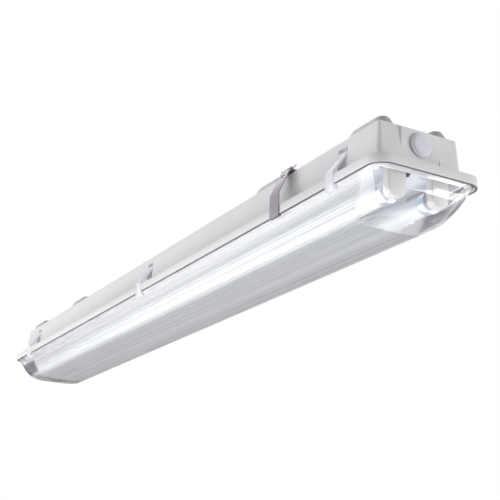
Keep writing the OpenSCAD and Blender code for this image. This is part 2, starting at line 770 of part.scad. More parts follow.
// Hinge wires of the bracket, each with a bent tail at its right end.
module bracket_hinge_wires() {
    tilt = atan2(tail_rise, tail_l);
    color("silver") for (sy = [-1, 1]) translate([bracket_x, sy * hinge_y, hinge_z]) {
        translate([-bracket_w / 2, 0, 0]) rotate([0, 90, 0]) cylinder(r = wire_r, h = bracket_w + wire_r);
        translate([bracket_w / 2, 0, 0]) rotate([0, 90 - tilt, 0])
            cylinder(r = wire_r * tail_share, h = tail_l);
    }
}

// Moves what follows to one lampholder. It is drawn for the +X end.
module at_holder(sx, sy) {
    translate([0, sy * lamp_pitch / 2, 0]) mirror([sx < 0 ? 1 : 0, 0, 0]) translate([holder_x, 0, 0])
        children();
}

// White steel tray that carries the gear and shows as the reflector behind the tubes.
module gear_tray() {
    notch_w = pocket_w + 2 * cheek_t + 2 * tray_gap;
    color("whitesmoke") difference() {
        union() {
            translate([-tray_half_l, -tray_half_w, tray_z])
                cube([2 * tray_half_l, 2 * tray_half_w, tray_t]);
            for (s = [-1, 1]) {
                translate([-tray_half_l, s * (tray_half_w - tray_t / 2) - tray_t / 2, tray_z])
                    cube([2 * tray_half_l, tray_t, tray_edge_h]);
                translate([s * (tray_half_l - tray_t / 2) - tray_t / 2, -tray_half_w, tray_z])
                    cube([tray_t, 2 * tray_half_w, tray_edge_h]);
            }
        }
        at_latches() translate([-notch_w / 2, pocket_back_y - tray_gap, tray_z - over])
            cube([notch_w, flange_w, tray_edge_h + 2 * over]);
        four(tray_screw_x, tray_screw_y) translate([0, 0, tray_top])
            cylinder(r = boss_r + screw_clear, h = tray_edge_h);
        translate([0, 0, tray_z - over]) {
            at_tray_screws() cylinder(r = screw_r + screw_clear, h = tray_t + 2 * over);
            for (s = [-1, 1]) translate([s * ballast_screw_x, 0, 0])
                cylinder(r = screw_r, h = tray_t + 2 * over);
        }
        for (sx = [-1, 1], sy = [-1, 1]) at_holder(sx, sy) {
            translate([holder_t / 2 - clip_t / 2 - screw_clear, -clip_w / 2 - screw_clear, tray_z - over])
                cube([clip_t + 2 * screw_clear, clip_w + 2 * screw_clear, tray_t + 2 * over]);
            for (s = [-1, 1]) translate([lead_hole[0], s * lead_hole[1], tray_z - over])
                cylinder(r = lead_d, h = tray_t + 2 * over);
        }
    }
}

// Pan head screw with a cross recess, head down, with its head's seat at z = 0.
module screw(l) {
    drive = screw_head_r * drive_share;
    drive_w = screw_head_r * drive_w_share;
    difference() {
        union() {
            rotate([180, 0, 0])
                cylinder(r1 = screw_head_r, r2 = screw_head_r * head_top_share, h = screw_head_h);
            cylinder(r = screw_r - thread_clear, h = l);
        }
        for (a = [0, 90]) rotate([0, 0, a])
            translate([-drive, -drive_w, -screw_head_h - over])
            cube([2 * drive, 2 * drive_w, screw_head_h / 2 + over]);
    }
}

// Screws that hold the tray to the bosses.
module tray_screws() {
    color("dimgray") translate([0, 0, tray_z]) at_tray_screws() screw(tray_t + screw_l);
}

// Electronic ballast on top of the tray.
module ballast() {
    color("lightgray") translate([0, 0, tray_top]) difference() {
        union() {
            linear_extrude(ballast_h) rounded_outline(ballast_l, ballast_w, ballast_r);
            linear_extrude(ear_t) rounded_outline(ballast_l + 2 * ear_l, ballast_w * ear_share, ballast_r);
        }
        for (s = [-1, 1]) translate([s * ballast_screw_x, 0, -over])
            cylinder(r = screw_r, h = ear_t + 2 * over);
    }
}

// Screws that hold the ballast to the tray.
module ballast_screws() {
    color("silver") for (s = [-1, 1]) translate([s * ballast_screw_x, 0, tray_top + ear_t])
        rotate([180, 0, 0]) screw(ear_t + tray_t + screw_head_h);
}

// Supply terminals near the open conduit entry.
module terminal_block() {
    step = terminal_l / terminal_ways;
    color("white") translate([-terminal_x, terminal_y, tray_top]) difference() {
        translate([-terminal_l / 2, -terminal_w / 2, 0]) cube([terminal_l, terminal_w, terminal_h]);
        for (i = [0:terminal_ways - 1])
            translate([(2 * i + 1) * step / 2 - terminal_l / 2, 0, terminal_h / 2]) {
            rotate([90, 0, 0]) cylinder(r = wire_entry_r, h = terminal_w + 2 * over, center = true);
            cylinder(r = wire_entry_r, h = terminal_h);
        }
    }
}

// Outline of a lampholder in Y and Z, drawn in by t.
module holder_outline(t) {
    circle(holder_w / 2 - t);
    translate([t - holder_w / 2, 0]) square([holder_w - 2 * t, tray_z - lamp_z]);
}

// One lampholder with the seat and the mouth of its rotor.
module lampholder(sx, sy) {
    color("antiquewhite") at_holder(sx, sy) difference() {
        union() {
            translate([(holder_t - holder_bevel) / 2, 0, lamp_z])
                along_x(holder_t - holder_bevel) holder_outline(0);
            translate([holder_t - holder_bevel / 2, 0, lamp_z]) along_x(holder_bevel)
                holder_outline(holder_bevel);
            translate([(holder_t - clip_t) / 2, -clip_w / 2, tray_z])
                cube([clip_t, clip_w, tray_t + holder_clip_h]);
        }
        translate([-over, 0, lamp_z]) rotate([0, 90, 0])
            cylinder(r = rotor_r + rotor_clear, h = rotor_seat + over);
        translate([-over, -slot_w / 2, lamp_z - holder_w])
            cube([rotor_seat * mouth_share + over, slot_w, holder_w]);
    }
}

// One turning rotor, in its locked position with the pin slot level.
module rotor(sx, sy) {
    front = rotor_gap - holder_gap;
    color("white") at_holder(sx, sy) translate([0, 0, lamp_z]) difference() {
        translate([front, 0, 0]) rotate([0, 90, 0])
            cylinder(r = rotor_r, h = rotor_seat - rotor_clear - front);
        translate([front - over, -rotor_r - over, -slot_w / 2])
            cube([lamp_pin_l - rotor_gap + 2 * over, 2 * (rotor_r + over), slot_w]);
    }
}

// Glass of one tube.
module tube(sy) {
    color("white") translate([0, sy * lamp_pitch / 2, lamp_z]) rotate([0, 90, 0]) difference() {
        cylinder(r = glass_r, h = lamp_l - 2 * cap_t - 2 * bury, center = true);
        cylinder(r = glass_r - glass_t, h = lamp_l, center = true);
    }
}

// Metal end caps of one tube, slipped over its glass.
module end_caps(sy) {
    color("silver") translate([0, sy * lamp_pitch / 2, lamp_z])
        for (s = [0, 1]) mirror([s, 0, 0]) translate([cap_x - cap_l, 0, 0]) rotate([0, 90, 0])
        difference() {
            cylinder(r = cap_r, h = cap_l);
            translate([0, 0, -over]) cylinder(r = glass_r, h = cap_l - cap_t + over);
        }
}

// Contact pins of one tube.
module cap_pins(sy) {
    color("goldenrod") translate([0, sy * lamp_pitch / 2, lamp_z])
        for (s = [-1, 1], t = [-1, 1]) translate([s * (cap_x + lamp_pin_l / 2), t * pin_pitch / 2, 0])
            rotate([0, 90, 0]) cylinder(r = lamp_pin_r, h = lamp_pin_l, center = true);
}

// Round lead along a list of points.
module lead(points) {
    n = len(points);
    dirs = [for (i = [0:n - 1]) let(v = points[min(i + 1, n - 1)] - points[max(i - 1, 0)]) v / norm(v)];
    loft([for (i = [0:n - 1])
        let(a = cross(dirs[i], lead_ref), b = cross(dirs[i], a / norm(a)))
        [for (k = [0:lead_sides - 1]) let(t = 360 * k / lead_sides)
            points[i] + lead_d / 2 * (cos(t) * a / norm(a) + sin(t) * b)]
    ]);
}

// Leads of one tube: two at each end, from the ballast over the tray to the lampholder.
module leads(sy) {
    tube_y = sy * lamp_pitch / 2;
    level = tray_z + lead_way[0][2];
    run = holder_x + lead_way[0][0] - ballast_l / 2;
    color("lightsteelblue") for (sx = [-1, 1], t = [-1, 1]) {
        start_y = sy * lead_exit_y + t * lead_d;
        side = tube_y + t * lead_way[0][1] - start_y;
        lead(concat(
            [[sx * (ballast_l / 2 + lead_gap), start_y, level + lead_d]],
            [for (i = [0:3]) [sx * (ballast_l / 2 + run * lead_run_shares[i]),
                start_y + side * lead_side_shares[i], i == 0 ? level + lead_d : level]],
            [for (p = lead_way) [sx * (holder_x + p[0]), tube_y + t * p[1], tray_z + p[2]]]
        ));
    }
}

// Moves what follows to the closed conduit entry, with +Z pointing out of the end wall.
module at_entry() {
    translate([panel_x, 0, entry_z]) rotate([0, 90, 0]) children();
}

// Plug that closes the conduit entry at the right end.
module entry_plug() {
    color("gainsboro") at_entry() {
        translate([0, 0, seal_t]) cylinder(r = plug_flange_r, h = plug_flange_t);
        translate([0, 0, seal_t + plug_flange_t])
            cylinder(r1 = plug_flange_r - bury, r2 = plug_face_r, h = plug_rise);
        translate([0, 0, -panel_t - plug_tail])
            cylinder(r = entry_r - plug_clear, h = seal_t + panel_t + plug_tail);
    }
}

// Washer under the plug's flange.
module plug_seal() {
    color("dimgray") at_entry() difference() {
        cylinder(r = seal_r, h = seal_t);
        translate([0, 0, -over]) cylinder(r = entry_r, h = seal_t + 2 * over);
    }
}

// Lock nut of the plug, inside the end wall.
module plug_nut() {
    color("gainsboro") at_entry() translate([0, 0, -panel_t - nut_t]) difference() {
        linear_extrude(nut_t) polygon([for (a = [0:60:300]) nut_r * [cos(a), sin(a)]]);
        translate([0, 0, -over]) cylinder(r = entry_r, h = nut_t + 2 * over);
    }
}

housing();
gasket();
diffuser();
latch(-1, -latch_pitch);  // latch_front_left
latch(-1, 0);  // latch_front_middle
latch(-1, latch_pitch);  // latch_front_right
latch(1, -latch_pitch);  // latch_rear_left
latch(1, 0);  // latch_rear_middle
latch(1, latch_pitch);  // latch_rear_right
latch_pins();
mounting_bracket();
bracket_arm(-1);  // bracket_arm_front
bracket_arm(1);  // bracket_arm_rear
bracket_hinge_wires();
gear_tray();
tray_screws();
ballast();
ballast_screws();
terminal_block();
lampholder(-1, -1);  // lampholder_front_left
lampholder(1, -1);  // lampholder_front_right
lampholder(-1, 1);  // lampholder_rear_left
lampholder(1, 1);  // lampholder_rear_right
rotor(-1, -1);  // rotor_front_left
rotor(1, -1);  // rotor_front_right
rotor(-1, 1);  // rotor_rear_left
rotor(1, 1);  // rotor_rear_right
tube(-1);  // tube_front
tube(1);  // tube_rear
end_caps(-1);  // end_caps_front
end_caps(1);  // end_caps_rear
cap_pins(-1);  // cap_pins_front
cap_pins(1);  // cap_pins_rear
leads(-1);  // leads_front
leads(1);  // leads_rear
entry_plug();
plug_seal();
plug_nut();
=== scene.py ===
"""A vapor tight ceiling light for two tubes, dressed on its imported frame."""

import math

import bmesh
import bpy
from bpy.props import FloatProperty, FloatVectorProperty, IntProperty, PointerProperty
from mathutils import Matrix, Vector


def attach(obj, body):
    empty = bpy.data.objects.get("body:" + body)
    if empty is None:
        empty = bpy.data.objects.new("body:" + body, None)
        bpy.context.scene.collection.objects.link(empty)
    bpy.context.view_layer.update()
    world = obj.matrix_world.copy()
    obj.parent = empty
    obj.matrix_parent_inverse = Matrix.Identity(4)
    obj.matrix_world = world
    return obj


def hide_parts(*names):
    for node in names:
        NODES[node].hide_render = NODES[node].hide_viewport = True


bl_info = {
    "name": "Vapor Tight Ceiling Light",
    "version": (1, 0, 0),
    "blender": (4, 5, 0),
    "location": "View3D > Sidebar > Ceiling Light",
    "description": "Dresses a vapor tight ceiling light: diffuser, latches, tubes and stage",
    "category": "Add Mesh",
}

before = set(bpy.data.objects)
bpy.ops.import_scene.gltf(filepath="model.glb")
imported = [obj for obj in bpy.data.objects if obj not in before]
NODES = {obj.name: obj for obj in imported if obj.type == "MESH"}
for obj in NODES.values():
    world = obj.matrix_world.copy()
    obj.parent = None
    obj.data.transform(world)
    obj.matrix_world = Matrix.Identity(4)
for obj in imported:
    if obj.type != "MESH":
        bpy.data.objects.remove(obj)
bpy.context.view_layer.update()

# Heights of the lip under the housing and of its roof, from which the feet stand up.
LIP = -0.0735
ROOF = -0.011

SIDES = ("front", "rear")
ENDS = ("left", "right")
LATCH_PLACES = ("left", "middle", "right")

# Depth of the grooves at the rings of one rib, from its crest on, as shares of the full depth.
GROOVE_SHARES = (0, 0.5, 1, 0.5)
# How far a mark may be off its groove share and still count.
MARK_MARGIN = 0.1
# Powers of the curve that the swept ends follow: steep at the rim, level at the floor.
RIM_POWER = 2.6
FLOOR_POWER = 1.6
# Two rings at one height can't be bridged, so the rim's top falls inwards by this much.
RIM_FALL = 0.0001
# Largest corner radius of a ring, as a share of its half width.
WIDEST_CORNER = 0.98

# Angles in degrees. Edges are rounded and stay sharp from the first on, and those of the ribs
# stay sharp from the second on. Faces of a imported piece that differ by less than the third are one.
SHARP_ANGLE = 30
RIB_ANGLE = 45
FLAT_ANGLE = 0.5
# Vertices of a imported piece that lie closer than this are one.
MERGE_DISTANCE = 0.000001
ROUNDING_STEPS = 2

# Depths of the bumps in grained surfaces and in rolled metal.
GRAIN_DEPTH = 0.00002
ROLLING_DEPTH = 0.00001
# Scales of the noise in the colour, the gloss and the bumps of each kind of surface. Milky plastic
# has no bumps, rolled metal one noise for all three, and the floor's paint only its colour's.
MOULDED_SCALES = (14, 60, 1400)
MILKY_SCALES = (60, 200)
ENAMEL_SCALES = (6, 25, 350)
ROLLING_SCALE = 500
PAINT_SCALE = 2
# Their darkest and lightest shades, as shares of the colour.
MOULDED_SHADES = (0.97, 1.02)
MILKY_SHADES = (0.97, 1.0)
ENAMEL_SHADES = (0.985, 1.01)
ROLLED_SHADES = (0.9, 1.1)
PAINT_SHADES = (0.99, 1.01)
# How much lighter the hinge wires are than the bracket.
WIRE_SHADE = 1.3
# How far the roughness spreads in plastic, in enamel and in rolled metal.
PLASTIC_SPREAD = 0.1
ENAMEL_SPREAD = 0.08
ROLLED_SPREAD = 0.16
# Roughness of the diffuser over its ribs and beyond them, and the haze of noise that adds to it.
RIBBED_ROUGHNESS = 0.38
SMOOTH_ROUGHNESS = 0.03
HAZE_SCALE = 40
HAZE_DEPTH = 0.02
# Heights over the lip between which the painted shade under the lip ends, heights over the roof
# between which painted shade darkens the feet, and how far it does.
LIP_SHADE_FADE = (0.00005, 0.0004)
FEET_SHADE_FADE = (0.0002, 0.002)
FEET_SHADE_SHARE = 0.55

# How far painted shade takes the diffuser's colour to dusk: in its lines and bands, and where it
# is grazed before its swept ends. Then the facings at which grazing starts and is full.
LINE_SHADE_SHARE = 0.34
BAND_SHADE_SHARE = 0.06
GRAZED_SHADE_SHARE = 0.12
FLOOR_FACINGS = (0.74, 0.9)
WALL_FACINGS = (0.5, 0.62)
# The noise of the lines and bands, as its scale and its stretch along the ribs, the noise at which
# they start and are full, and how much the ribs themselves add to the lines.
LINE_NOISE = (230, 0.003)
BAND_NOISE = (38, 0.01)
LINE_LIMITS = (0.46, 0.66)
BAND_LIMITS = (0.48, 0.66)
RIB_WEIGHT = 0.12
# Where on the floor's round edge the walls' facings start to count, as a share of its radius.
WALL_START = 0.3

FLOOR_SIZE = 60
FLOOR_HEIGHT = -2.4
# Share of the floor's own paleness in what the camera sees of it.
FLOOR_GLOW = 0.6
WORLD_LIGHT = 0.46
# Soft square lamps: name, place, aim, size in metres and power in watts.
LAMPS = (
    ("below", (0.0, -1.0, -2.1), (0.0, 0.0, -0.08), 2.0, 42),
    ("above", (-1.2, -0.3, 2.2), (0.0, 0.0, 0.0), 2.0, 15),
    ("side", (-1.9, -2.1, -0.5), (-0.1, 0.0, -0.05), 1.6, 26),
    ("end", (2.2, 1.9, -0.6), (0.5, 0.0, -0.05), 1.2, 30),
)
# The camera's place and directions, its sensor and lens in millimetres and its nearest distance.
CAMERA_PLACE = (1.502697, -0.694602, -0.528850)
CAMERA_RIGHT = (0.4877894, 0.87221388, 0.03611725)
CAMERA_UP = (0.25654195, -0.18277297, 0.94909445)
CAMERA_BACK = (0.83441461, -0.45369262, -0.31291417)
SENSOR = 36
LENS = 76.754
NEAREST = 0.05


def length(name, words, value):
    """A size that a user may change."""
    return FloatProperty(name=name, description=words, default=value, unit="LENGTH", precision=4)


def colour(name, words, value):
    """A colour that a user may change."""
    return FloatVectorProperty(
        name=name, description=words, default=value, subtype="COLOR", size=3, min=0, max=1
    )


class DiffuserSizes(bpy.types.PropertyGroup):
    """Sizes of the clear diffuser."""

    rim_half_width: length("Rim half width", "Half width over the diffuser's rim", 0.0706)
    rim_half_length: length("Rim half length", "Half length over the diffuser's rim", 0.6371)
    rim_radius: length("Rim corner", "Corner radius of the rim", 0.0176)
    rim_height: length("Rim height", "Height of the rim's top above the lip", 0.0052)
    bevel_height: length("Bevel top", "Height of the latching bevel's top above the lip", 0.002)
    bevel_run: length("Bevel run", "How far the bevel runs inwards", 0.0032)
    bevel_rise: length("Bevel rise", "Height of the bevel", 0.0048)
    depth: length("Depth", "Depth of the diffuser below the lip", 0.043)
    crown: length("Crown", "Drop of the floor from its edges to its middle", 0.0015)
    floor_half: length("Floor half width", "Half width of the floor up to its round edges", 0.0392)
    edge_radius: length("Edge radius", "Radius of the floor's edges", 0.012)
    floor_radius: length("Floor corner", "Corner radius of the floor", 0.022)
    sweep: length("End sweep", "How far the ends sweep in from the rim to the floor", 0.05)
    wall: length("Wall", "Thickness of the plastic", 0.0022)
    rib_pitch: length("Rib pitch", "Distance between prism ribs", 0.004)
    rib_depth: length("Rib depth", "Depth of the grooves between the ribs", 0.0007)
    rib_end: length("Rib end", "Distance of the ribs' ends from the middle on the floor", 0.559)
    rib_fade: length("Rib fade", "Length over which a rib runs out", 0.006)
    # The next four place the painted shade where the diffuser is seen edgeways: darker before the
    # ribs' ends, clear under the rim.
    dark_start: length("Dark start", "How far before the ribs' ends the dark ends start", 0.019)
    dark_full: length("Dark full", "How far before the ribs' ends they are fully dark", 0.004)
    rim_clear: length("Clear rim", "Height under the lip that grazing leaves clear", 0.009)
    rim_dark: length("Dark wall", "Height under the lip from which grazing darkens fully", 0.013)
    corner_steps: IntProperty(
        name="Corner steps", description="Faces round each corner", default=12, min=3
    )


class EdgeSizes(bpy.types.PropertyGroup):
    """How far the edges of the pieces are rounded."""

    housing: length("Housing", "Rounding of the housing's edges", 0.0006)
    plug: length("Plug", "Rounding of the plug's edges", 0.0004)
    latch: length("Latches", "Rounding of the latches' edges", 0.0004)
    strip: length("Bracket", "Rounding of the edges of the bracket and its arms", 0.0002)
    holder: length("Lampholders", "Rounding of the lampholders' edges", 0.0004)
    rotor: length("Rotors", "Rounding of the rotors' edges", 0.0003)
    tube: length("Tubes", "Rounding of the tubes' glass", 0.0002)
    cap: length("Caps", "Rounding of the tubes' caps", 0.0006)


class LightColours(bpy.types.PropertyGroup):
    """Colours of the light's finishes."""

    housing: colour("Housing", "Moulded housing", (0.80, 0.785, 0.805))
    # This colour is painted shade, under the housing's lip and on its feet.
    edge: colour("Lip", "Seal line under the housing's lip", (0.12, 0.105, 0.115))
    seal: colour("Seal", "Seal between the housing and the diffuser", (0.22, 0.215, 0.22))
    plug: colour("Plug", "Plug in the end wall", (0.78, 0.79, 0.86))
    washer: colour("Washer", "Washer behind the plug", (0.02, 0.02, 0.022))
    clear: colour("Diffuser", "Clear plastic", (0.97, 0.975, 0.99))
    # Dusk is the painted shade that the diffuser's lines, bands and edgeways faces go to.
    dusk: colour("Diffuser's edges", "Clear plastic seen edgeways", (0.06, 0.053, 0.075))
    latch: colour("Latch", "Milky latches and their pins", (0.90, 0.89, 0.94))
    strip: colour("Strip", "Bracket and its arms", (0.30, 0.28, 0.31))
    tray: colour("Tray", "Enamelled tray", (0.72, 0.74, 0.78))
    tray_screw: colour("Tray screws", "Dark screws in the tray", (0.08, 0.08, 0.085))
    ballast: colour("Ballast", "Painted case of the ballast", (0.72, 0.73, 0.74))
    ballast_screw: colour("Ballast screws", "Zinc screws of the ballast", (0.6, 0.6, 0.62))
    terminals: colour("Terminals", "Moulded terminals", (0.8, 0.8, 0.77))
    lead: colour("Leads", "Insulation of the leads", (0.55, 0.66, 0.82))
    holder: colour("Lampholder", "Moulded lampholders", (0.62, 0.60, 0.585))
    rotor: colour("Rotors", "Rotors of the lampholders", (0.82, 0.81, 0.79))
    tube: colour("Tubes", "Coated glass of the tubes", (0.70, 0.715, 0.73))
    cap: colour("Caps", "Caps of the tubes", (0.77, 0.83, 0.89))
    pins: colour("Pins", "Contact pins of the tubes", (0.6, 0.42, 0.16))
    floor: colour("Floor", "Floor under the light", (0.86, 0.86, 0.86))


class Value:
    """One value in a finish. Sums on it add Math nodes to the finish."""

    def __init__(self, finish, socket):
        self.finish = finish
        self.socket = socket

    def __add__(self, other):
        return self.finish.math("ADD", self, other)

    def __radd__(self, other):
        return self.finish.math("ADD", other, self)

    def __sub__(self, other):
        return self.finish.math("SUBTRACT", self, other)

    def __rsub__(self, other):
        return self.finish.math("SUBTRACT", other, self)

    def __mul__(self, other):
        return self.finish.math("MULTIPLY", self, other)

    def __rmul__(self, other):
        return self.finish.math("MULTIPLY", other, self)


class Finish:
    """A material built up from nodes on the piece's own place."""

    def __init__(self, name, world=None):
        self.is_world = world is not None
        self.material = world or bpy.data.materials.new(name)
        self.material.use_nodes = True
        self.tree = self.material.node_tree
        self.tree.nodes.clear()
        self.place = self.add("ShaderNodeTexCoord", {}, {}, "Object")

    def add(self, kind, settings, inputs, output=0):
        """Adds a node with its settings and with the values or links of its sockets."""
        node = self.tree.nodes.new(kind)
        for key, value in settings.items():
            setattr(node, key, value)
        pairs = inputs.items() if isinstance(inputs, dict) else enumerate(inputs)
        for key, value in pairs:
            if isinstance(value, Value):
                self.tree.links.new(value.socket, node.inputs[key])
            else:
                node.inputs[key].default_value = value
        return Value(self, node.outputs[output])

    def math(self, operation, *values):
        """A sum, product or other operation on values."""
        return self.add("ShaderNodeMath", {"operation": operation}, values)

    def spread(self, x, y, z):
        """The piece's place, stretched."""
        return self.add("ShaderNodeMapping", {}, {"Vector": self.place, "Scale": (x, y, z)})

    def axis(self, name):
        """The piece's place along one axis."""
        return self.add("ShaderNodeSeparateXYZ", {}, {"Vector": self.place}, name)

    def noise(self, scale, detail=3.0, place=None):
        """Smooth noise from 0 to 1."""
        sockets = {"Vector": place or self.place, "Scale": scale, "Detail": detail}
        return self.add("ShaderNodeTexNoise", {}, sockets, "Fac")

    def drawn_out(self, scale, stretch):
        """Plain noise, drawn out along the light."""
        return self.noise(scale, detail=1, place=self.spread(stretch, 1, 1))

    def ramp(self, value, low, high):
        """0 up to low, 1 from high on."""
        sockets = {"Value": value, "From Min": low, "From Max": high}
        return self.add("ShaderNodeMapRange", {}, sockets)

    def mix(self, share, first, second):
        """Colour between first and second."""
        first, second = (c if isinstance(c, Value) else (*c, 1) for c in (first, second))
        return self.add("ShaderNodeMix", {"data_type": "RGBA"}, {0: share, 6: first, 7: second}, 2)

    def varied(self, base, shades, pattern):
        """A colour that a pattern moves between its darkest and lightest shades."""
        dark, light = (shade(base, factor) for factor in shades)
        return self.mix(pattern, dark, light)

    @staticmethod
    def uneven(middle, width, pattern):
        """A roughness that a pattern moves to both sides of its middle."""
        return middle - width / 2 + pattern * width

    def bump(self, height, depth):
        """A normal that follows the bumps of a pattern."""
        return self.add("ShaderNodeBump", {}, {"Height": height, "Distance": depth}, "Normal")

    def seen(self):
        """1 for what the camera sees, straight or in gloss and glass, 0 for what only lights."""
        camera, gloss, glass = (
            self.add("ShaderNodeLightPath", {}, {}, f"Is {kind} Ray")
            for kind in ("Camera", "Glossy", "Transmission")
        )
        return self.math("MAXIMUM", self.math("MAXIMUM", camera, gloss), glass)

    def surface(self, **values):
        """Puts a plastic, metal or glass surface on the material."""
        names = {
            key.replace("_", " ").title().replace("Ior", "IOR"): value
            for key, value in values.items()
        }
        self.show(self.add("ShaderNodeBsdfPrincipled", {}, names))

    def show(self, shader):
        """Makes a shader the one that the material shows."""
        kind = "ShaderNodeOutputWorld" if self.is_world else "ShaderNodeOutputMaterial"
        out = self.tree.nodes.new(kind)
        self.tree.links.new(shader.socket, out.inputs["Surface"])


def shade(base, factor):
    """A colour made darker or lighter."""
    return tuple(min(1.0, c * factor) for c in base)


def grained(finish, base, rough):
    """Colour, roughness and normal of moulded plastic with a fine grain."""
    patches, clouds, grain = MOULDED_SCALES
    return (
        finish.varied(base, MOULDED_SHADES, finish.noise(patches)),
        finish.uneven(rough, PLASTIC_SPREAD, finish.noise(clouds)),
        finish.bump(finish.noise(grain, detail=2), GRAIN_DEPTH),
    )


def moulded(name, base, rough=0.42):
    """Moulded plastic, the same all over."""
    finish = Finish(name)
    tone, gloss, normal = grained(finish, base, rough)
    finish.surface(base_color=tone, roughness=gloss, normal=normal)
    return finish.material


def moulded_with_painted_shade(name, base, edge):
    """Moulded plastic of the housing, with painted shade under its lip and on its feet."""
    finish = Finish(name)
    height = finish.axis("Z")
    # Painted shade: dark just under the lip, and darker on the feet above the roof.
    under = 1 - finish.ramp(height, *(LIP + rise for rise in LIP_SHADE_FADE))
    above = finish.ramp(height, *(ROOF + rise for rise in FEET_SHADE_FADE))
    tone, gloss, normal = grained(finish, base, rough=0.43)
    feet_shaded_tone = finish.mix(above * FEET_SHADE_SHARE, tone, edge)
    finish.surface(base_color=finish.mix(under, feet_shaded_tone, edge), roughness=gloss, normal=normal)
    return finish.material


def clear_plastic(name, sizes, base, dusk):
    """Clear plastic: painted shade streaks it along its ribs and darkens it where it is grazed;
    smooth beyond the ribs.
    """
    finish = Finish(name)
    height = finish.axis("Z")
    along = finish.math("ABSOLUTE", finish.axis("X"))
    around = finish.math("ABSOLUTE", finish.axis("Y")) + height
    floor = LIP - sizes.depth
    end = sizes.rib_end

    # Zones: beyond the ribs, on the swept ends, on the walls and at the rim.
    smooth = finish.ramp(along - height + floor, end - sizes.rib_fade, end)
    swept = finish.ramp(along, end - sizes.dark_start, end - sizes.dark_full)
    edge = sizes.edge_radius
    wall = finish.ramp(height, floor + edge * WALL_START, floor + edge)
    top = finish.ramp(height, LIP - sizes.rim_dark, LIP - sizes.rim_clear)

    # Painted shade: one line to a rib, broken up by noise that is drawn out along the ribs, and wider
    # bands.
    wave = finish.math("SINE", around * (2 * math.pi / sizes.rib_pitch)) * RIB_WEIGHT
    lines = finish.ramp(wave + finish.drawn_out(*LINE_NOISE), *LINE_LIMITS)
    bands = finish.ramp(finish.drawn_out(*BAND_NOISE), *BAND_LIMITS)
    streaks = (lines * LINE_SHADE_SHARE + bands * BAND_SHADE_SHARE) * (1 - smooth)

    # Painted shade where the plastic is seen edgeways: full before the swept ends, none under the
    # rim.
    facing = finish.add("ShaderNodeLayerWeight", {}, {"Blend": 0.5}, "Facing")
    low, high = (f - wall * (f - w) for f, w in zip(FLOOR_FACINGS, WALL_FACINGS))
    share = GRAZED_SHADE_SHARE + swept * (1 - GRAZED_SHADE_SHARE)
    grazing = finish.ramp(facing, low, high) * share * (1 - top)
    polish = RIBBED_ROUGHNESS - SMOOTH_ROUGHNESS
    finish.surface(
        base_color=finish.mix(finish.math("MAXIMUM", grazing, streaks), base, dusk),
        roughness=RIBBED_ROUGHNESS - smooth * polish + finish.noise(HAZE_SCALE) * HAZE_DEPTH,
        transmission_weight=1.0,
        ior=1.45,
    )
    return finish.material


def milky_plastic(name, base, rough=0.3):
    """Milky plastic that lets some light through."""
    finish = Finish(name)
    patches, clouds = MILKY_SCALES
    finish.surface(
        base_color=finish.varied(base, MILKY_SHADES, finish.noise(patches)),
        roughness=finish.uneven(rough, PLASTIC_SPREAD, finish.noise(clouds)),
        transmission_weight=0.35,
        alpha=0.9,
    )
    return finish.material


def metal(name, base, rough, streak=(1, 1, 1)):
    """Bare metal with streaks of its rolling."""
    finish = Finish(name)
    lines = finish.noise(ROLLING_SCALE, detail=2, place=finish.spread(*streak))
    finish.surface(
        base_color=finish.varied(base, ROLLED_SHADES, lines),
        metallic=1.0,
        roughness=finish.uneven(rough, ROLLED_SPREAD, lines),
        normal=finish.bump(lines, ROLLING_DEPTH),
    )
    return finish.material


def enamel(name, base, rough=0.3):
    """Glossy paint over steel sheet, and the coated glass of the tubes."""
    finish = Finish(name)
    patches, clouds, ripples = ENAMEL_SCALES
    finish.surface(
        base_color=finish.varied(base, ENAMEL_SHADES, finish.noise(patches)),
        roughness=finish.uneven(rough, ENAMEL_SPREAD, finish.noise(clouds)),
        coat_weight=0.4,
        normal=finish.bump(finish.noise(ripples, detail=2), GRAIN_DEPTH),
    )
    return finish.material


def pale_paint(name, base):
    """Pale paint of the floor, which the camera sees as pale as it is written."""
    finish = Finish(name)
    tone = finish.varied(base, PAINT_SHADES, finish.noise(PAINT_SCALE))
    matt = finish.add("ShaderNodeBsdfPrincipled", {}, {"Base Color": tone, "Roughness": 0.7})
    pale = finish.add("ShaderNodeEmission", {}, {"Color": (*base, 1), "Strength": 1.0})
    share = finish.seen() * FLOOR_GLOW
    finish.show(finish.add("ShaderNodeMixShader", {}, {0: share, 1: matt, 2: pale}))
    return finish.material


def clear_selection():
    """Leaves nothing selected, so that the next operator acts on its own piece alone."""
    if bpy.context.mode != "OBJECT":
        bpy.ops.object.mode_set(mode="OBJECT")
    bpy.ops.object.select_all(action="DESELECT")


def choose(piece):
    """Makes one piece the only one that operators act on."""
    clear_selection()
    piece.select_set(True)
    bpy.context.view_layer.objects.active = piece


def pick(piece, kind, test):
    """In edit mode, selects the piece's verts or edges that pass a test."""
    bpy.ops.mesh.select_mode(type={"verts": "VERT", "edges": "EDGE"}[kind])
    bpy.ops.mesh.select_all(action="DESELECT")
    mesh = bmesh.from_edit_mesh(piece.data)
    for item in getattr(mesh, kind):
        if test(item):
            item.select_set(True)
    mesh.select_flush_mode()
    bmesh.update_edit_mesh(piece.data)


def pick_open_edges(piece, points):
    """In edit mode, selects the edges between these vertices that lack a face on one side."""

    def is_open(edge):
        return len(edge.link_faces) < 2 and all(v.index in points for v in edge.verts)

    pick(piece, "edges", is_open)


def settle(piece, name, body, finish, node, angle=SHARP_ANGLE):
    """Places a finished piece in the frame, with its name, body and finish."""
    choose(piece)
    bpy.ops.object.transform_apply(location=True, rotation=True, scale=True)
    bpy.ops.object.shade_smooth_by_angle(angle=math.radians(angle))
    piece.name = name
    piece.data.name = name
    piece.data.materials.clear()
    piece.data.materials.append(finish)
    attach(piece, body)
    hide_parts(node)
    return piece


